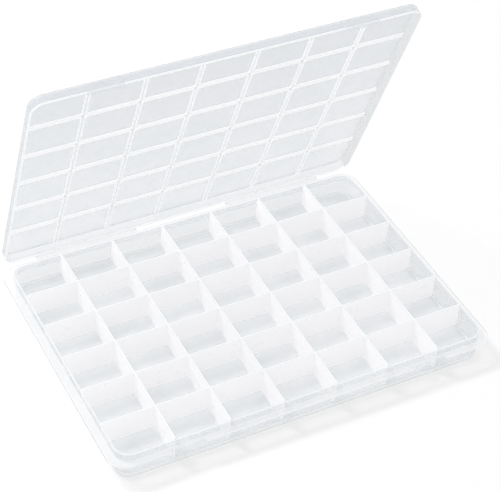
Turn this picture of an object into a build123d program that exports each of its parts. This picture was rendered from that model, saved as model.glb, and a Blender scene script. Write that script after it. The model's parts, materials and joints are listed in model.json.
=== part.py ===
from build123d import *
import os

# Driving sizes, in millimetres. Origin: centre of the tray's underside, on the table. +Y is the hinge side.
COLUMNS = 7
ROWS = 6
PITCH_X = 47.5
PITCH_Y = 38.8
GRID_X = COLUMNS * PITCH_X
GRID_Y = ROWS * PITCH_Y

# Tray wall
WALL_INSET = 0.8
WALL_X = GRID_X - 2 * WALL_INSET
WALL_Y = GRID_Y - 2 * WALL_INSET
WALL_CORNER = 13.0
WALL_THICKNESS = 1.5
WALL_DRAFT = 0.3
WALL_BEVEL = 0.4
RIM_Z = 27.0
RIM_BEVEL = 0.3

# Foot skirt, set in from the wall, and the floor
FOOT_HEIGHT = 4.0
FOOT_INSET = 1.2
FOOT_THICKNESS = 1.6
FOOT_BEVEL = 0.4
FLOOR_THICKNESS = 1.5
FLOOR_Z = FOOT_HEIGHT + FLOOR_THICKNESS
FLOOR_FILLET = 1.2

# Dividers
DIVIDER_TOP_Z = 28.5
DIVIDER_TOP_WIDTH = 1.2
DIVIDER_BASE_WIDTH = 1.6

# Flange round the wall, with its latch notches
FLANGE_TOP_Z = 21.0
FLANGE_THICKNESS = 1.5
FLANGE_SIDE = 172.6
FLANGE_FRONT = -121.0
FLANGE_BACK = 123.9
FLANGE_CORNER = 15.0
FLANGE_BEVEL = 0.4
LATCH_X = 110.0
LATCH_WIDTH = 30.0
NOTCH_WIDTH = 31.0
NOTCH_DEPTH = 3.6
NOTCH_CORNER = 1.0

# Thumb bosses under the latches and the round feet under the floor
BOSS_WIDTH = 11.0
BOSS_HEIGHT = 6.0
BOSS_Z = 9.5
BOSS_PROUD = 1.2
BOSS_TAPER = 25.0
FOOT_RING_X = 143.0
FOOT_RING_Y = 92.0
FOOT_RING_OUTER = 7.0
FOOT_RING_INNER = 5.0

# Living hinge: two strips, left and right of the middle
HINGE_Y = 124.4
HINGE_Z = 23.0
HINGE_X_NEAR = 43.5
HINGE_X_FAR = 138.0
LEDGE_TOP_Z = 22.7
LEDGE_ROUND = 0.4
FILM_RADIUS = 0.35
FILM_WEB = 0.6
LUG_LOW_Z = 23.3
LUG_HIGH_Z = 24.8
LUG_BACK = 123.7
LUG_ROUND = 0.5

# Lid, built closed and then swung open as in the photograph
LID_OPEN = 70.0
LID_SIDE = 168.0
LID_FRONT = -119.1
LID_BACK = 120.1
LID_CORNER = 12.0
LID_TOP_Z = 30.3
LID_THICKNESS = 1.5
LID_EDGE_ROUND = 2.0
SKIRT_LOW_Z = 21.3
SKIRT_BAND = 3.0
SKIRT_RELIEF = 0.5

# Paired ribs under the lid, one ring to each compartment
GROOVE_WIDTH = 2.0
RIB_WIDTH = 1.0
RIB_HEIGHT = 1.5
RIB_OUTER_CORNER = 1.4
RIB_INNER_CORNER = 0.8
RIB_FIELD_X = 329.0
RIB_FIELD_FRONT = -105.5
RIB_FIELD_BACK = 117.6

# Latch pads on the lid's front skirt
PAD_PROUD = 1.2
PAD_LOW_Z = 19.0
PAD_HIGH_Z = 28.6
PAD_LIP = 1.0
PAD_ROUND = 0.6
RIDGE_PROUD = 0.3
RIDGE_HEIGHT = 0.6

# Gate mark of the moulding, on the lid's inner face
GATE_Y = -7.7
GATE_RADIUS = 2.2
GATE_HEIGHT = 0.4

# Cuts run this far past the faces they go through
PAST = 5.0


def upright_block(size_x, size_y, corner, low_z, high_z, centre_y=0.0):
    """A block with rounded upright corners between two heights."""
    outline = RectangleRounded(size_x, size_y, corner)
    return Pos(0, centre_y, low_z) * extrude(outline, high_z - low_z)


def box_between(low, high):
    """An axis-aligned block from its two opposite corners."""
    size = [h - l for l, h in zip(low, high)]
    return Pos(*low) * Box(*size, align=(Align.MIN, Align.MIN, Align.MIN))


def edges_at_height(shape, z):
    """The edges that lie wholly at one height."""
    return shape.edges().filter_by_position(Axis.Z, z, z)


def on_both_sides(low, high):
    """The same block left and right of the middle plane."""
    right = box_between(low, high)
    return right + mirror(right, about=Plane.YZ)


def tray_cavity():
    """The storage space from the floor to the dividers' tops: drafted sides, rounded into the floor."""
    top_x = WALL_X - 2 * WALL_THICKNESS
    top_y = WALL_Y - 2 * WALL_THICKNESS
    top_corner = WALL_CORNER - WALL_THICKNESS
    base = RectangleRounded(top_x - 2 * WALL_DRAFT, top_y - 2 * WALL_DRAFT, top_corner - WALL_DRAFT)
    top = RectangleRounded(top_x, top_y, top_corner)
    cavity = loft([Pos(0, 0, FLOOR_Z) * base, Pos(0, 0, DIVIDER_TOP_Z) * top], ruled=True)
    return fillet(edges_at_height(cavity, FLOOR_Z), FLOOR_FILLET)


def floor_plate():
    """The flat floor, up to the line where the walls' rounding begins."""
    inset = WALL_THICKNESS + WALL_DRAFT + FLOOR_FILLET
    return upright_block(WALL_X - 2 * inset, WALL_Y - 2 * inset, WALL_CORNER - inset, FOOT_HEIGHT, FLOOR_Z)


def tray_wall(cavity, floor):
    """The outer wall with its rounding into the floor and the foot skirt that stands on the table."""
    wall = upright_block(WALL_X, WALL_Y, WALL_CORNER, FLOOR_Z, RIM_Z)
    wall = chamfer(edges_at_height(wall, FLOOR_Z), WALL_BEVEL)
    wall = chamfer(edges_at_height(wall, RIM_Z), RIM_BEVEL)
    inset = 2 * FOOT_INSET
    foot = upright_block(WALL_X - inset, WALL_Y - inset, WALL_CORNER - FOOT_INSET, 0, FLOOR_Z)
    foot = chamfer(edges_at_height(foot, 0), FOOT_BEVEL)
    under = inset + 2 * FOOT_THICKNESS
    under_corner = WALL_CORNER - FOOT_INSET - FOOT_THICKNESS
    recess = upright_block(WALL_X - under, WALL_Y - under, under_corner, 0, FOOT_HEIGHT)
    return wall + foot - cavity - recess - floor


def floor_feet():
    """Four short rings under the floor's corners, as tall as the foot skirt."""
    ring = extrude(Circle(FOOT_RING_OUTER) - Circle(FOOT_RING_INNER), FOOT_HEIGHT)
    return [Pos(x, y) * ring for x in (-FOOT_RING_X, FOOT_RING_X) for y in (-FOOT_RING_Y, FOOT_RING_Y)]


def divider_section(along_x):
    """The long wedge that a divider is cut from, across the whole tray and thicker at the floor."""
    base = DIVIDER_BASE_WIDTH / 2
    top = DIVIDER_TOP_WIDTH / 2
    height = DIVIDER_TOP_Z - FLOOR_Z
    outline = make_face(Polyline((-base, 0), (base, 0), (top, height), (-top, height), close=True))
    wedge = extrude(Plane.XZ * outline, GRID_X / 2, both=True)
    turned = Rot(0, 0, 90) * wedge if along_x else wedge
    return Pos(0, 0, FLOOR_Z) * turned


def dividers(cavity):
    """Whole dividers from front to back, and short ones that fill each gap between them."""
    long_ones = {}
    for column in range(1, COLUMNS):
        x = column * PITCH_X - GRID_X / 2
        long_ones[f"long_divider_{column}"] = cavity & (Pos(x, 0, 0) * divider_section(along_x=False))
    short_ones = {}
    for row in range(1, ROWS):
        y = row * PITCH_Y - GRID_Y / 2
        line = cavity & (Pos(0, y, 0) * divider_section(along_x=True))
        for long_one in long_ones.values():
            line = line - long_one
        for column, piece in enumerate(line.solids().sort_by(Axis.X), start=1):
            short_ones[f"cross_divider_r{row}_c{column}"] = piece
    return {**long_ones, **short_ones}


def tray_flange():
    """The level flange round the wall, notched where the lid's latches come down."""
    centre_y = (FLANGE_FRONT + FLANGE_BACK) / 2
    low_z = FLANGE_TOP_Z - FLANGE_THICKNESS
    size_y = FLANGE_BACK - FLANGE_FRONT
    flange = upright_block(2 * FLANGE_SIDE, size_y, FLANGE_CORNER, low_z, FLANGE_TOP_Z, centre_y)
    notch = RectangleRounded(NOTCH_WIDTH, 2 * NOTCH_DEPTH, NOTCH_CORNER)
    for x in (-LATCH_X, LATCH_X):
        flange = flange - Pos(x, FLANGE_FRONT, low_z) * extrude(notch, FLANGE_THICKNESS)
    flange = chamfer(edges_at_height(flange, FLANGE_TOP_Z), FLANGE_BEVEL)
    return flange - upright_block(WALL_X, WALL_Y, WALL_CORNER, low_z, FLANGE_TOP_Z)


def front_catch(x):
    """A leaf-shaped boss on the wall under one latch, drafted towards its face."""
    half = BOSS_WIDTH / 2
    rise = BOSS_HEIGHT / 2
    upper = ThreePointArc((-half, 0), (0, rise), (half, 0))
    lower = ThreePointArc((half, 0), (0, -rise), (-half, 0))
    leaf = extrude(Plane.XZ * make_face([upper, lower]), BOSS_PROUD, taper=BOSS_TAPER)
    return Pos(x, -WALL_Y / 2, BOSS_Z) * leaf


def hinge_ledge(side):
    """The raised strip on the back flange that carries one hinge film."""
    ledge = box_between((HINGE_X_NEAR, WALL_Y / 2, FLANGE_TOP_Z), (HINGE_X_FAR, FLANGE_BACK, LEDGE_TOP_Z))
    ends = ledge.edges().filter_by(Axis.Y).group_by(Axis.Z)[-1]
    return to_side(fillet(ends, LEDGE_ROUND), side)


def hinge_film(side):
    """The thin film on the hinge axis: a round bead with a web down to the ledge's back edge."""
    bead = Circle(FILM_RADIUS)
    reach = HINGE_Y - FLANGE_BACK
    drop = HINGE_Z - LEDGE_TOP_Z
    slant = FILM_RADIUS / 2**0.5
    web = Polyline((-reach, -drop - FILM_WEB), (-reach, -drop), (-slant, slant), (slant, -slant), close=True)
    profile = bead + make_face(web)
    length = HINGE_X_FAR - HINGE_X_NEAR
    film = Pos(HINGE_X_NEAR, HINGE_Y, HINGE_Z) * extrude(Plane.YZ * profile, length)
    return to_side(film, side)


def hinge_lug(side):
    """The lip on the lid's back skirt that meets one hinge film."""
    lug = box_between((HINGE_X_NEAR, LID_BACK, LUG_LOW_Z), (HINGE_X_FAR, LUG_BACK, LUG_HIGH_Z))
    back_edge = lug.edges().filter_by(Axis.X).group_by(Axis.Y)[-1].sort_by(Axis.Z)[-1]
    return to_side(fillet(back_edge, LUG_ROUND), side)


def to_side(shape, side):
    """A right-hand piece as it is, or its mirror image for the left."""
    return shape if side == "right" else mirror(shape, about=Plane.YZ)


def lid_shell():
    """The lid's skin: a flat panel and a skirt in one, rounded along the top edge."""
    centre_y = (LID_FRONT + LID_BACK) / 2
    size_y = LID_BACK - LID_FRONT
    outer = upright_block(2 * LID_SIDE, size_y, LID_CORNER, SKIRT_LOW_Z, LID_TOP_Z, centre_y)
    outer = fillet(edges_at_height(outer, LID_TOP_Z), LID_EDGE_ROUND)
    skin = 2 * LID_THICKNESS
    inner_corner = LID_CORNER - LID_THICKNESS
    under_panel = LID_TOP_Z - LID_THICKNESS
    inner_x = 2 * LID_SIDE - skin
    inner_y = size_y - skin
    inner = upright_block(inner_x, inner_y, inner_corner, SKIRT_LOW_Z, under_panel, centre_y)
    relief_low = (HINGE_X_NEAR - SKIRT_RELIEF, LID_BACK - PAST, SKIRT_LOW_Z)
    relief_high = (HINGE_X_FAR + SKIRT_RELIEF, LID_BACK + PAST, LUG_LOW_Z)
    return outer - inner - on_both_sides(relief_low, relief_high)


def lid_core():
    """The upright prism that parts the flat panel from the skirt and its rounded edge."""
    centre_y = (LID_FRONT + LID_BACK) / 2
    size_y = LID_BACK - LID_FRONT
    band = 2 * SKIRT_BAND
    return upright_block(2 * LID_SIDE - band, size_y - band, LID_CORNER - SKIRT_BAND, 0, LID_TOP_Z, centre_y)


def lid_panel(shell, core):
    """The flat panel, with the moulding's gate mark on its inner face."""
    under_panel = LID_TOP_Z - LID_THICKNESS
    gate = Pos(0, GATE_Y, under_panel - GATE_HEIGHT) * extrude(Circle(GATE_RADIUS), GATE_HEIGHT)
    return (shell & core) + gate


def cornered_outline(size_x, size_y, corner):
    """A rectangle whose corners are cut off at 45 degrees."""
    plain = Rectangle(size_x, size_y)
    return chamfer(plain.vertices(), corner)


def lid_rib_rings():
    """One low ring to each compartment; those at the lid's edge are open outwards."""
    top_z = LID_TOP_Z - LID_THICKNESS
    low_z = top_z - RIB_HEIGHT
    field = box_between((-RIB_FIELD_X / 2, RIB_FIELD_FRONT, low_z), (RIB_FIELD_X / 2, RIB_FIELD_BACK, top_z))
    rings = []
    for column in range(COLUMNS):
        for row in range(ROWS):
            left = -PITCH_X if column == 0 else 0
            right = PITCH_X if column == COLUMNS - 1 else 0
            front = -PITCH_Y if row == 0 else 0
            back = PITCH_Y if row == ROWS - 1 else 0
            size_x = PITCH_X - GROOVE_WIDTH + right - left
            size_y = PITCH_Y - GROOVE_WIDTH + back - front
            centre_x = (column + 0.5) * PITCH_X - GRID_X / 2 + (left + right) / 2
            centre_y = (row + 0.5) * PITCH_Y - GRID_Y / 2 + (front + back) / 2
            outer = cornered_outline(size_x, size_y, RIB_OUTER_CORNER)
            inner = cornered_outline(size_x - 2 * RIB_WIDTH, size_y - 2 * RIB_WIDTH, RIB_INNER_CORNER)
            ring = Pos(centre_x, centre_y, low_z) * extrude(outer - inner, RIB_HEIGHT)
            rings += (ring & field).solids()
    return rings


def latch_pad(x):
    """A latch: a pad on the front skirt whose lower lip drops through the flange's notch."""
    front = LID_FRONT - PAD_PROUD
    lip = LID_FRONT + PAD_LIP
    ridge_low = PAD_LOW_Z + RIDGE_PROUD
    ridge_high = ridge_low + RIDGE_HEIGHT
    outline = [
        (front, PAD_LOW_Z),
        (lip, PAD_LOW_Z),
        (lip + RIDGE_PROUD, ridge_low),
        (lip, ridge_high),
        (lip, SKIRT_LOW_Z),
        (LID_FRONT, SKIRT_LOW_Z),
        (LID_FRONT, PAD_HIGH_Z),
        (front, PAD_HIGH_Z - PAD_PROUD),
    ]
    profile = make_face(Polyline(*outline, close=True))
    pad = extrude(Plane.YZ * profile, LATCH_WIDTH / 2, both=True)
    corners = pad.edges().filter_by(Axis.Z).group_by(Axis.Y)[0]
    return Pos(x, 0, 0) * fillet(corners, PAD_ROUND)


def swung_open(shape):
    """The closed lid's piece where it stands in the photograph."""
    return shape.rotate(Axis((0, HINGE_Y, HINGE_Z), (1, 0, 0)), -LID_OPEN)


def build_tray():
    """Every piece of the tray by name."""
    cavity = tray_cavity()
    floor = floor_plate()
    wall = tray_wall(cavity, floor)
    pieces = {"tray_floor": floor, "tray_wall": wall, "tray_flange": tray_flange()}
    pieces.update(dividers(cavity))
    pieces["floor_feet"] = Compound(children=floor_feet())
    for side, sign in (("left", -1), ("right", 1)):
        pieces[f"front_catch_{side}"] = front_catch(sign * LATCH_X)
        pieces[f"hinge_ledge_{side}"] = hinge_ledge(side)
        pieces[f"hinge_film_{side}"] = hinge_film(side)
    return pieces


def build_lid():
    """Every piece of the lid by name, swung open."""
    shell = lid_shell()
    core = lid_core()
    pieces = {"lid_panel": lid_panel(shell, core), "lid_skirt": shell - core}
    pieces["lid_rib_rings"] = Compound(children=lid_rib_rings())
    for side, sign in (("left", -1), ("right", 1)):
        pieces[f"latch_{side}"] = latch_pad(sign * LATCH_X)
        pieces[f"hinge_lug_{side}"] = hinge_lug(side)
    return {name: swung_open(shape) for name, shape in pieces.items()}


os.makedirs("parts", exist_ok=True)
for name, shape in {**build_tray(), **build_lid()}.items():
    export_step(shape, f"parts/{name}.step")
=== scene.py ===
import json
import math

import bpy
from mathutils import Matrix, Vector


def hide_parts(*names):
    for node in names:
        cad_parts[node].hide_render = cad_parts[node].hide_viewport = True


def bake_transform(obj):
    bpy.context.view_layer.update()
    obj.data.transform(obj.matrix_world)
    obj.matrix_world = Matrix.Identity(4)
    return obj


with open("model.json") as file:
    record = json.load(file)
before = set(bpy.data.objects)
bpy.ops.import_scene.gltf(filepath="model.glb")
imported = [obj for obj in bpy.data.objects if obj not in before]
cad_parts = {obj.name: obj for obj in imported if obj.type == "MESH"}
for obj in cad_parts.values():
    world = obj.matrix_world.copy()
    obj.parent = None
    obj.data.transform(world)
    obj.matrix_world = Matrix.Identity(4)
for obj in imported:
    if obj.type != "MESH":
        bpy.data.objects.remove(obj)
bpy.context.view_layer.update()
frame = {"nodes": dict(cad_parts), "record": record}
MM = 0.001

# The hinge axis and the films' stretch along it, in millimetres, and the lid's opening in degrees
HINGE = Vector((0, 124.4, 23.0))
HINGE_X = (43.5, 138.0)
LID_OPEN = 70.0

# A compartment from divider to divider, in millimetres
CELL_WIDTH = 47.5
CELL_DEPTH = 38.8


def opened(y, z):
    """A point of the closed lid's section, in millimetres, where the open lid has it."""
    angle = math.radians(LID_OPEN)
    dy = y - HINGE.y
    dz = z - HINGE.z
    swung_y = HINGE.y + dy * math.cos(angle) + dz * math.sin(angle)
    swung_z = HINGE.z - dy * math.sin(angle) + dz * math.cos(angle)
    return swung_y, swung_z


# Material nodes

# Noise mostly lies between these two values
NOISE_LOW = 0.3
NOISE_HIGH = 0.7

# Waves per metre of the cloudy tint, the smeared gloss and the grain, and the noise's detail
CLOUD_SCALE = 24.0
SMEAR_SCALE = 140.0
GRAIN_SCALE = 260.0
FINE_DETAIL = 3.0
GRAIN_DETAIL = 2.0

# The cloudy tint's two ends on the noise, and the gloss between its smears
CLOUD_DEEP = 0.35
CLOUD_PALE = 0.65
SMEAR_GLOSSY = 0.75
SMEAR_DULL = 1.3
GRAIN_STRENGTH = 0.25

# From the hinge side to the lid's free side, in millimetres, and the most of the free side's tint
FAR_TINT_START = 100.0
FAR_TINT_END = -130.0
FAR_TINT_SHARE = 0.85

# A band's soft border in millimetres, and the blue in its grey
SOFT_BORDER = 0.12
BLUE_CAST = 0.01

# The plastic's refractive index, and the share of its solidity that it has for scattered light
PLASTIC_IOR = 1.49
DIFFUSE_SHARE = 0.05


def link(tree, source, target):
    tree.links.new(source, target)


def noise(tree, scale, detail, coordinates):
    """Noise in object space, so that it stays on the moulding; scale is in waves per metre."""
    node = tree.nodes.new("ShaderNodeTexNoise")
    node.inputs["Scale"].default_value = scale
    node.inputs["Detail"].default_value = detail
    link(tree, coordinates, node.inputs["Vector"])
    return node.outputs["Fac"]


def spread(tree, value, low, high):
    """Maps noise onto a range."""
    node = tree.nodes.new("ShaderNodeMapRange")
    node.inputs["From Min"].default_value = NOISE_LOW
    node.inputs["From Max"].default_value = NOISE_HIGH
    node.inputs["To Min"].default_value = low
    node.inputs["To Max"].default_value = high
    link(tree, value, node.inputs["Value"])
    return node.outputs["Result"]


def product(tree, first, second):
    node = tree.nodes.new("ShaderNodeMath")
    node.operation = "MULTIPLY"
    link(tree, first, node.inputs[0])
    link(tree, second, node.inputs[1])
    return node.outputs[0]


def blended(tree, data_type, share, first, second):
    """Blends a colour or a number towards a fixed second one."""
    node = tree.nodes.new("ShaderNodeMix")
    node.data_type = data_type
    kind = "_Color" if data_type == "RGBA" else "_Float"
    inputs = {socket.identifier: socket for socket in node.inputs}
    outputs = {socket.identifier: socket for socket in node.outputs}
    link(tree, share, inputs["Factor_Float"])
    link(tree, first, inputs["A" + kind])
    inputs["B" + kind].default_value = second
    return outputs["Result" + kind]


def place_along(tree, where, axis, tilt):
    """One coordinate in metres, on a piece tilted with the lid as it is with the lid shut.

    The axis x counts both ways from the middle, and right counts to the right only.
    """
    angle = math.radians(tilt)
    along = {
        "x": Vector((1, 0, 0)),
        "right": Vector((1, 0, 0)),
        "y": Vector((0, math.cos(angle), -math.sin(angle))),
        "z": Vector((0, math.sin(angle), math.cos(angle))),
    }[axis]
    dot = tree.nodes.new("ShaderNodeVectorMath")
    dot.operation = "DOT_PRODUCT"
    dot.inputs[1].default_value = along
    link(tree, where, dot.inputs[0])
    if axis == "x":
        side = tree.nodes.new("ShaderNodeMath")
        side.operation = "ABSOLUTE"
        link(tree, dot.outputs["Value"], side.inputs[0])
        return side.outputs[0]
    fixed = {"right": 0, "y": HINGE.y, "z": HINGE.z}[axis]
    shifted = tree.nodes.new("ShaderNodeMath")
    shifted.inputs[1].default_value = (fixed - HINGE.dot(along)) * MM
    link(tree, dot.outputs["Value"], shifted.inputs[0])
    return shifted.outputs[0]


def between(tree, place, low, high):
    """One between two places in millimetres, nought outside, with a soft border."""
    centre = (low + high) / 2
    half = (high - low) / 2
    away = tree.nodes.new("ShaderNodeMath")
    away.operation = "SUBTRACT"
    away.inputs[1].default_value = centre * MM
    link(tree, place, away.inputs[0])
    size = tree.nodes.new("ShaderNodeMath")
    size.operation = "ABSOLUTE"
    link(tree, away.outputs[0], size.inputs[0])
    fade = tree.nodes.new("ShaderNodeMapRange")
    fade.interpolation_type = "SMOOTHSTEP"
    fade.inputs["From Min"].default_value = (half + SOFT_BORDER) * MM
    fade.inputs["From Max"].default_value = max(half - SOFT_BORDER, 0) * MM
    link(tree, size.outputs[0], fade.inputs["Value"])
    return fade.outputs["Result"]


def cloudy_tint(tree, clouds, pale, deep):
    """A tint that drifts at random between two colours with the clouds, and that partly stands in for
    a painted reflection of the room in the wavy plastic.
    """
    tint = tree.nodes.new("ShaderNodeValToRGB")
    tint.color_ramp.elements[0].position = CLOUD_DEEP
    tint.color_ramp.elements[0].color = (*deep, 1)
    tint.color_ramp.elements[1].position = CLOUD_PALE
    tint.color_ramp.elements[1].color = (*pale, 1)
    link(tree, clouds, tint.inputs["Fac"])
    return tint.outputs["Color"]


def far_tint(tree, where, tilt, colour, far):
    """Takes a tint over to the colour far, from the hinge side to the lid's free side."""
    reach = tree.nodes.new("ShaderNodeMapRange")
    reach.inputs["From Min"].default_value = FAR_TINT_START * MM
    reach.inputs["From Max"].default_value = FAR_TINT_END * MM
    reach.inputs["To Max"].default_value = FAR_TINT_SHARE
    link(tree, place_along(tree, where, "y", tilt), reach.inputs["Value"])
    return blended(tree, "RGBA", reach.outputs["Result"], colour, (*far, 1))


def painted_light_bands(tree, where, tilt, bands, colour, body):
    """Gives every band of painted shade or highlight its grey and its solidity; a band comes over
    those before it.
    """
    axes = sorted({band[0] for band in bands})
    places = {axis: place_along(tree, where, axis, tilt) for axis in axes}
    for axis, low, high, grey, firm in bands:
        share = between(tree, places[axis], low, high)
        bluish = (grey - BLUE_CAST, grey + BLUE_CAST, grey + 2 * BLUE_CAST, 1)
        colour = blended(tree, "RGBA", share, colour, bluish)
        body = blended(tree, "FLOAT", share, body, firm)
    return colour, body


def faint_grain(tree, where, depth):
    """The moulding's grain as relief; depth is in millimetres."""
    relief = tree.nodes.new("ShaderNodeBump")
    relief.inputs["Strength"].default_value = GRAIN_STRENGTH
    relief.inputs["Distance"].default_value = depth * MM
    link(tree, noise(tree, GRAIN_SCALE, GRAIN_DETAIL, where), relief.inputs["Height"])
    return relief.outputs["Normal"]


def ray_share(tree, kind, share):
    """The share of its solidity that the plastic has for one kind of ray, and all of it for others."""
    node = tree.nodes.new("ShaderNodeMath")
    node.operation = "MULTIPLY_ADD"
    node.inputs[1].default_value = share - 1.0
    node.inputs[2].default_value = 1.0
    link(tree, kind, node.inputs[0])
    return node.outputs[0]


def soaked(tree, body, shadow_share):
    """Solidity as each ray meets it, because light soaks through such plastic."""
    paths = tree.nodes.new("ShaderNodeLightPath")
    lit = ray_share(tree, paths.outputs["Is Diffuse Ray"], DIFFUSE_SHARE)
    shaded = ray_share(tree, paths.outputs["Is Shadow Ray"], shadow_share)
    return product(tree, product(tree, body, lit), shaded)


def moulded_plastic(
        name, pale, deep, solid, drift, shadow_share,
        roughness=0.16, grain=0.0005, bands=(), tilt=0.0, far=None):
    """Translucent polypropylene: a cloudy tint that is partly a painted reflection, a faint grain, and
    bands of painted shade and highlight along its edges.

    pale and deep are the tint's two ends. solid is how much of what lies behind it one face hides,
    drift how much that varies, and shadow_share how much of it counts in shadows. grain is the
    relief's depth in millimetres. A band is an axis, two places along it in millimetres, how pale
    it is and how solid. tilt turns the bands with the lid, and far is the lid's tint at its free side.
    """
    material = bpy.data.materials.new(name)
    material.use_nodes = True
    tree = material.node_tree
    shader = tree.nodes["Principled BSDF"]
    shader.inputs["IOR"].default_value = PLASTIC_IOR
    where = tree.nodes.new("ShaderNodeTexCoord").outputs["Object"]

    clouds = noise(tree, CLOUD_SCALE, FINE_DETAIL, where)
    colour = cloudy_tint(tree, clouds, pale, deep)
    body = spread(tree, clouds, solid * (1 - drift), min(1.0, solid * (1 + drift)))
    if far:
        colour = far_tint(tree, where, tilt, colour, far)
    colour, body = painted_light_bands(tree, where, tilt, bands, colour, body)
    smears = noise(tree, SMEAR_SCALE, FINE_DETAIL, where)
    gloss = spread(tree, smears, roughness * SMEAR_GLOSSY, roughness * SMEAR_DULL)

    link(tree, colour, shader.inputs["Base Color"])
    link(tree, gloss, shader.inputs["Roughness"])
    link(tree, faint_grain(tree, where, grain), shader.inputs["Normal"])
    link(tree, soaked(tree, body, shadow_share), shader.inputs["Alpha"])
    return material


# Materials

def clear_wall():
    """The tray's wall, feet and catches, and the lid's latches, with a painted shadow along its
    bottom, painted shade at the floor's edge, and painted highlights low on the wall, just above the
    floor and along its rim.
    """
    # Bands of painted light: a painted contact shadow at the very bottom, a painted highlight on the
    # band above it, painted shade at the floor's edge, and painted highlights just above the floor and
    # along the rim
    under_foot_painted_shadow = ("z", -1.0, 0.5, 0.45, 0.60)
    foot = ("z", 0.5, 4.7, 0.84, 0.50)
    floor_edge_painted_shade = ("z", 4.7, 5.5, 0.42, 0.60)
    above_floor_painted_highlight = ("z", 5.5, 6.4, 0.86, 0.80)
    rim = ("z", 26.6, 28.0, 0.83, 0.90)
    return moulded_plastic(
        "clear_wall", pale=(0.72, 0.745, 0.77), deep=(0.66, 0.695, 0.73),
        solid=0.31, drift=0.06, shadow_share=1.0,
        bands=(under_foot_painted_shadow, foot, floor_edge_painted_shade, above_floor_painted_highlight, rim))


def clear_flange():
    """The flange round the tray, and the hinge's ledges, lugs and films, with painted shade along its
    outer edges at the left and right.
    """
    # Painted shade along the outer edges at the sides
    side_edges_painted_shade = ("x", 172.1, 175.0, 0.42, 0.75)
    return moulded_plastic(
        "clear_flange", pale=(0.90, 0.903, 0.92), deep=(0.87, 0.878, 0.895),
        solid=0.50, drift=0.05, shadow_share=0.5, bands=(side_edges_painted_shade,))


def clear_floor():
    """The floor plate, bluish against the dividers."""
    return moulded_plastic(
        "clear_floor", pale=(0.845, 0.87, 0.895), deep=(0.75, 0.78, 0.81),
        solid=0.42, drift=0.06, shadow_share=0.5)


def milky_divider():
    """The dividers, nearly white, with painted shade, a greyer line, along their upper edges, where
    most light falls.
    """
    # Painted shade along the dividers' upper edges
    tops_painted_shade = ("z", 28.2, 30.0, 0.87, 1.0)
    return moulded_plastic(
        "milky_divider", pale=(0.95, 0.948, 0.96), deep=(0.94, 0.939, 0.952),
        solid=0.97, drift=0.01, shadow_share=0.65, roughness=0.35, grain=0.001, bands=(tops_painted_shade,))


def clear_skirt():
    """The lid's rim, with painted highlights along its free edge and below the panel, painted shade
    along its top edge, and painted shade all over its right side.
    """
    # Painted highlights along the free edge and below the panel, painted shade along the top edge and
    # over the whole right side
    free_edge_painted_highlight = ("z", 20.0, 22.3, 0.92, 0.88)
    below_panel_painted_highlight = ("z", 28.2, 28.7, 0.86, 0.60)
    top_edge_painted_shade = ("z", 29.9, 32.0, 0.42, 0.50)
    right_side_painted_shade = ("right", 164.0, 175.0, 0.62, 0.45)
    return moulded_plastic(
        "clear_skirt", pale=(0.71, 0.72, 0.755), deep=(0.65, 0.685, 0.715),
        solid=0.36, drift=0.05, shadow_share=0.12,
        bands=(free_edge_painted_highlight, below_panel_painted_highlight, top_edge_painted_shade, right_side_painted_shade), tilt=LID_OPEN, far=(0.655, 0.68, 0.715))


def clear_lid():
    """The lid's panel, with painted shade in the grooves between long ribs and a painted highlight in
    those between cross ribs.
    """
    long_half = 0.9
    cross_half = 1.0
    # Painted shade between the paired long ribs, painted highlight between the paired cross ribs
    grooves = []
    for middle in (CELL_WIDTH / 2, CELL_WIDTH * 3 / 2, CELL_WIDTH * 5 / 2):
        grooves.append(("x", middle - long_half, middle + long_half, 0.66, 0.56))
    for middle in (-2 * CELL_DEPTH, -CELL_DEPTH, 0, CELL_DEPTH, 2 * CELL_DEPTH):
        grooves.append(("y", middle - cross_half, middle + cross_half, 0.84, 0.85))
    return moulded_plastic(
        "clear_lid", pale=(0.785, 0.775, 0.815), deep=(0.68, 0.73, 0.755),
        solid=0.41, drift=0.06, shadow_share=0.10, grain=0.0002,
        bands=grooves, tilt=LID_OPEN, far=(0.56, 0.59, 0.63))


def milky_rib():
    """The rib rings under the lid's panel, nearly white."""
    return moulded_plastic(
        "milky_rib", pale=(0.89, 0.89, 0.90), deep=(0.875, 0.877, 0.89),
        solid=0.97, drift=0.02, shadow_share=0.10, roughness=0.25, grain=0.001)


def bright_edge():
    """A painted highlight on the small radius along the clear pieces' edges, for the light that such
    edges catch.
    """
    return moulded_plastic(
        "bright_edge", pale=(0.84, 0.845, 0.855), deep=(0.82, 0.826, 0.835),
        solid=0.80, drift=0.02, shadow_share=0.15, roughness=0.22, grain=0.001)


WALL = clear_wall()
FLANGE = clear_flange()
FLOOR = clear_floor()
DIVIDER = milky_divider()
SKIRT = clear_skirt()
LID = clear_lid()
RIB = milky_rib()
EDGE = bright_edge()

LOOKS = {
    "clear_wall": WALL,
    "clear_floor": FLOOR,
    "milky_divider": DIVIDER,
    "clear_lid": LID,
    "milky_rib": RIB,
}
FLANGE_NODES = (
    "tray_flange",
    "hinge_ledge_left",
    "hinge_ledge_right",
    "hinge_lug_left",
    "hinge_lug_right",
)
SHARP_SLOTS = ("milky_divider", "milky_rib", "clear_floor")

# Bevelled edges with a painted highlight: their width and the reach of the weld before them, in
# millimetres, their steps, and the least angle in degrees between two faces with such an edge
EDGE_WIDTH = 0.2
WELD_REACH = 0.002
EDGE_STEPS = 2
EDGE_ANGLE = 40


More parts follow.
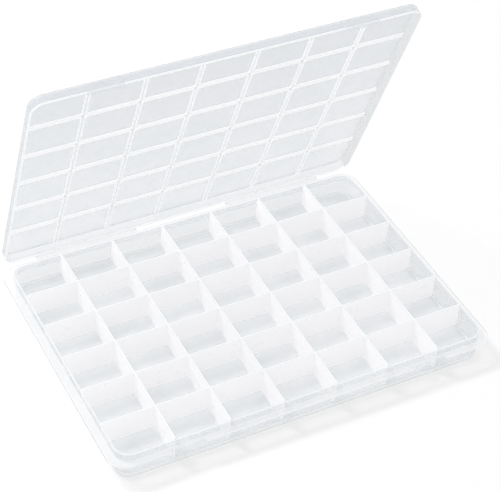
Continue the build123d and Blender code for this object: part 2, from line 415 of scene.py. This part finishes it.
def painted_highlight_edges(obj):
    """Gives an object a small radius along its edges, with a painted highlight on it."""
    obj.data.materials.append(EDGE)
    weld = obj.modifiers.new("weld", "WELD")
    weld.merge_threshold = WELD_REACH * MM
    bevel = obj.modifiers.new("edges", "BEVEL")
    bevel.width = EDGE_WIDTH * MM
    bevel.segments = EDGE_STEPS
    bevel.limit_method = "ANGLE"
    bevel.angle_limit = math.radians(EDGE_ANGLE)
    # The bevel's faces take the bright edge material, a painted highlight
    bevel.material = len(obj.material_slots) - 1
    bevel.harden_normals = True
    even = obj.modifiers.new("normals", "WEIGHTED_NORMAL")
    even.keep_sharp = True


def dress_frame():
    """Gives every CAD node its material, and all but the dividers, ribs and floor edges with a painted
    highlight.
    """
    slots = {part["node"]: part["material_slot"] for part in frame["record"]["subparts"]}
    for name, obj in frame["nodes"].items():
        material = LOOKS[slots[name]]
        if name in FLANGE_NODES:
            material = FLANGE
        elif name == "lid_skirt":
            material = SKIRT
        for slot in obj.material_slots:
            slot.material = material
        if slots[name] not in SHARP_SLOTS:
            painted_highlight_edges(obj)


# Hinge films

# The section in millimetres: on the tray's ledge, behind the axis, and on the shut lid's lug
FILM_FOOT = (123.9, 22.45)
FILM_BULGE = (HINGE.y + 0.32, HINGE.z - 0.1)
FILM_HEAD = (123.7, 23.5)

# Half the thickness at the ends, and how much less it is on the axis
FILM_HALF = 0.3
FILM_WAIST = 0.12

# Steps round the section and along the hinge, and those at each end that don't bend
FILM_STEPS = 12
FILM_SLICES = 24


def film_line():
    """The film's middle line at rest: from the ledge's back edge, round the axis, to the lid's lug."""
    head = opened(*FILM_HEAD)
    line = []
    for i in range(FILM_STEPS + 1):
        t = i / FILM_STEPS
        y = (1 - t) ** 2 * FILM_FOOT[0] + 2 * t * (1 - t) * FILM_BULGE[0] + t * t * head[0]
        z = (1 - t) ** 2 * FILM_FOOT[1] + 2 * t * (1 - t) * FILM_BULGE[1] + t * t * head[1]
        line.append(Vector((0, y, z)))
    return line


def film_rim(line):
    """Points of the film's two faces along its middle line, closest together half way."""
    rim = []
    last = len(line) - 1
    for i, point in enumerate(line):
        along = (line[min(i + 1, last)] - line[max(i - 1, 0)]).normalized()
        square = Vector((0, -along.z, along.y))
        half = FILM_HALF - FILM_WAIST * math.sin(math.pi * i / last)
        rim.append(point + square * half)
        rim.append(point - square * half)
    return rim


def film_mesh(side, sign, rim):
    """The film's closed skin, with the section's rim repeated along the hinge."""
    near, far = HINGE_X
    vertices = []
    for k in range(FILM_SLICES + 1):
        x = sign * (near + (far - near) * k / FILM_SLICES)
        vertices += [(x * MM, point.y * MM, point.z * MM) for point in rim]
    per = len(rim)
    faces = []
    for k in range(FILM_SLICES):
        a = k * per
        b = a + per
        for i in range(0, per - 2, 2):
            faces.append((a + i, b + i, b + i + 2, a + i + 2))
            faces.append((a + i + 1, a + i + 3, b + i + 3, b + i + 1))
        faces.append((a, a + 1, b + 1, b))
        faces.append((a + per - 2, b + per - 2, b + per - 1, a + per - 1))
    for a in (0, FILM_SLICES * per):
        for i in range(0, per - 2, 2):
            faces.append((a + i, a + i + 1, a + i + 3, a + i + 2))
    mesh = bpy.data.meshes.new(f"film_{side}")
    mesh.from_pydata(vertices, [], faces)
    mesh.materials.append(FLANGE)
    for polygon in mesh.polygons:
        polygon.use_smooth = True
    return mesh


def hinge_film(side, sign):
    """A thin film, thinnest on the axis, curved round it from the tray's ledge to the open lid's lug;
    it stands in for the CAD film, which it hides.
    """
    line = film_line()
    film = bpy.data.objects.new(f"film_{side}", film_mesh(side, sign, film_rim(line)))
    bpy.context.scene.collection.objects.link(film)
    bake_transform(film)
    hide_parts(f"hinge_film_{side}")


# Stage and light

# The table's half width in metres, its colour, and its colour where it is seen
TABLE_REACH = 12.0
TABLE_COLOUR = (0.97, 0.97, 0.972)
TABLE_SEEN = (0.91, 0.91, 0.913)

# The even room's strength as light, and as the background that is seen
ROOM_LIGHT = 0.90
ROOM_SEEN = 1.0


def background_rays(tree):
    """One for rays that show the background, from the camera, off gloss or sent through."""
    paths = tree.nodes.new("ShaderNodeLightPath")
    seen = paths.outputs["Is Camera Ray"]
    for kind in ("Is Glossy Ray", "Is Transmission Ray"):
        either = tree.nodes.new("ShaderNodeMath")
        either.operation = "MAXIMUM"
        link(tree, seen, either.inputs[0])
        link(tree, paths.outputs[kind], either.inputs[1])
        seen = either.outputs[0]
    return seen


def table_paint():
    """Matt paint, a little darker where it is seen, so that the lit table is just white."""
    material = bpy.data.materials.new("table")
    material.use_nodes = True
    tree = material.node_tree
    shader = tree.nodes["Principled BSDF"]
    shader.inputs["Roughness"].default_value = 0.9
    shader.inputs["Specular IOR Level"].default_value = 0.0
    shade = tree.nodes.new("ShaderNodeMix")
    shade.data_type = "RGBA"
    shade.inputs["A"].default_value = (*TABLE_COLOUR, 1)
    shade.inputs["B"].default_value = (*TABLE_SEEN, 1)
    link(tree, background_rays(tree), shade.inputs["Factor"])
    link(tree, shade.outputs["Result"], shader.inputs["Base Color"])
    return material


def make_stage():
    """A pale table that goes out of sight on every side."""
    reach = TABLE_REACH
    corners = [(-reach, -reach, 0), (reach, -reach, 0), (reach, reach, 0), (-reach, reach, 0)]
    mesh = bpy.data.meshes.new("table")
    mesh.from_pydata(corners, [], [(0, 1, 2, 3)])
    mesh.materials.append(table_paint())
    table = bpy.data.objects.new("table", mesh)
    bpy.context.scene.collection.objects.link(table)


def area_lamp(name, place, size, power):
    """A round lamp aimed at the middle of the table; place and size in metres, power in watts."""
    data = bpy.data.lights.new(name, "AREA")
    data.shape = "DISK"
    data.size = size
    data.energy = power
    lamp = bpy.data.objects.new(name, data)
    lamp.location = place
    lamp.rotation_euler = (-Vector(place)).to_track_quat("-Z", "Y").to_euler()
    bpy.context.scene.collection.objects.link(lamp)


def make_room():
    """An even white room."""
    world = bpy.data.worlds.new("room")
    bpy.context.scene.world = world
    world.use_nodes = True
    tree = world.node_tree
    room = tree.nodes["Background"]
    room.inputs["Color"].default_value = (1, 1, 1, 1)
    room.inputs["Strength"].default_value = ROOM_LIGHT
    seen = tree.nodes.new("ShaderNodeBackground")
    seen.inputs["Color"].default_value = (1, 1, 1, 1)
    seen.inputs["Strength"].default_value = ROOM_SEEN
    mix = tree.nodes.new("ShaderNodeMixShader")
    link(tree, background_rays(tree), mix.inputs["Fac"])
    link(tree, room.outputs["Background"], mix.inputs[1])
    link(tree, seen.outputs["Background"], mix.inputs[2])
    link(tree, mix.outputs["Shader"], tree.nodes["World Output"].inputs["Surface"])


def make_light():
    """One lamp high on the left behind the box, a weak broad one in front, and the room."""
    area_lamp("key", place=(-0.9, 1.1, 1.9), size=0.5, power=15)
    area_lamp("front", place=(-0.6, -2.4, 1.0), size=1.8, power=3)
    make_room()


# Camera

# Its place in millimetres and its turn in degrees, fitted to the grid's lines in the photograph
CAMERA_PLACE = Vector((-492.1, -840.9, 953.0))
CAMERA_AZIMUTH = 30.13
CAMERA_DOWN = 41.48
CAMERA_ROLL = 4.46

# The photograph's size, its focal length and the point straight ahead, in pixels
IMAGE_WIDTH = 500
IMAGE_HEIGHT = 492
FOCAL_PIXELS = 1603.7
CENTRE_PIXEL = (245.4, 243.3)

# The camera's sensor in millimetres and the nearest thing that it sees, in metres
SENSOR_WIDTH = 36.0
CLIP_START = 0.01


def make_camera():
    """A camera at the photograph's place and angle, with its frame."""
    azimuth = math.radians(CAMERA_AZIMUTH)
    down = math.radians(CAMERA_DOWN)
    roll = math.radians(CAMERA_ROLL)
    forward = math.cos(down)
    ahead = Vector((math.sin(azimuth) * forward, math.cos(azimuth) * forward, -math.sin(down)))
    sideways = Vector((math.cos(azimuth), -math.sin(azimuth), 0))
    upright = sideways.cross(ahead)
    right = sideways * math.cos(roll) + upright * math.sin(roll)
    up = upright * math.cos(roll) - sideways * math.sin(roll)
    data = bpy.data.cameras.new("camera")
    data.sensor_width = SENSOR_WIDTH
    data.lens = FOCAL_PIXELS / IMAGE_WIDTH * SENSOR_WIDTH
    data.shift_x = (IMAGE_WIDTH / 2 - CENTRE_PIXEL[0]) / IMAGE_WIDTH
    data.shift_y = (CENTRE_PIXEL[1] - IMAGE_HEIGHT / 2) / IMAGE_WIDTH
    data.clip_start = CLIP_START
    camera = bpy.data.objects.new("camera", data)
    turn = Matrix((right, up, -ahead)).transposed().to_4x4()
    camera.matrix_world = Matrix.Translation(CAMERA_PLACE * MM) @ turn
    bpy.context.scene.collection.objects.link(camera)
    bpy.context.scene.camera = camera


dress_frame()
for side, sign in (("left", -1), ("right", 1)):
    hinge_film(side, sign)
make_stage()
make_light()
make_camera()

scene = bpy.context.scene
scene.view_settings.view_transform = "Standard"

# A ray crosses many clear faces before it leaves the box
scene.cycles.transparent_max_bounces = 48
scene.cycles.diffuse_bounces = 16
scene.cycles.max_bounces = 24
bpy.context.view_layer.update()
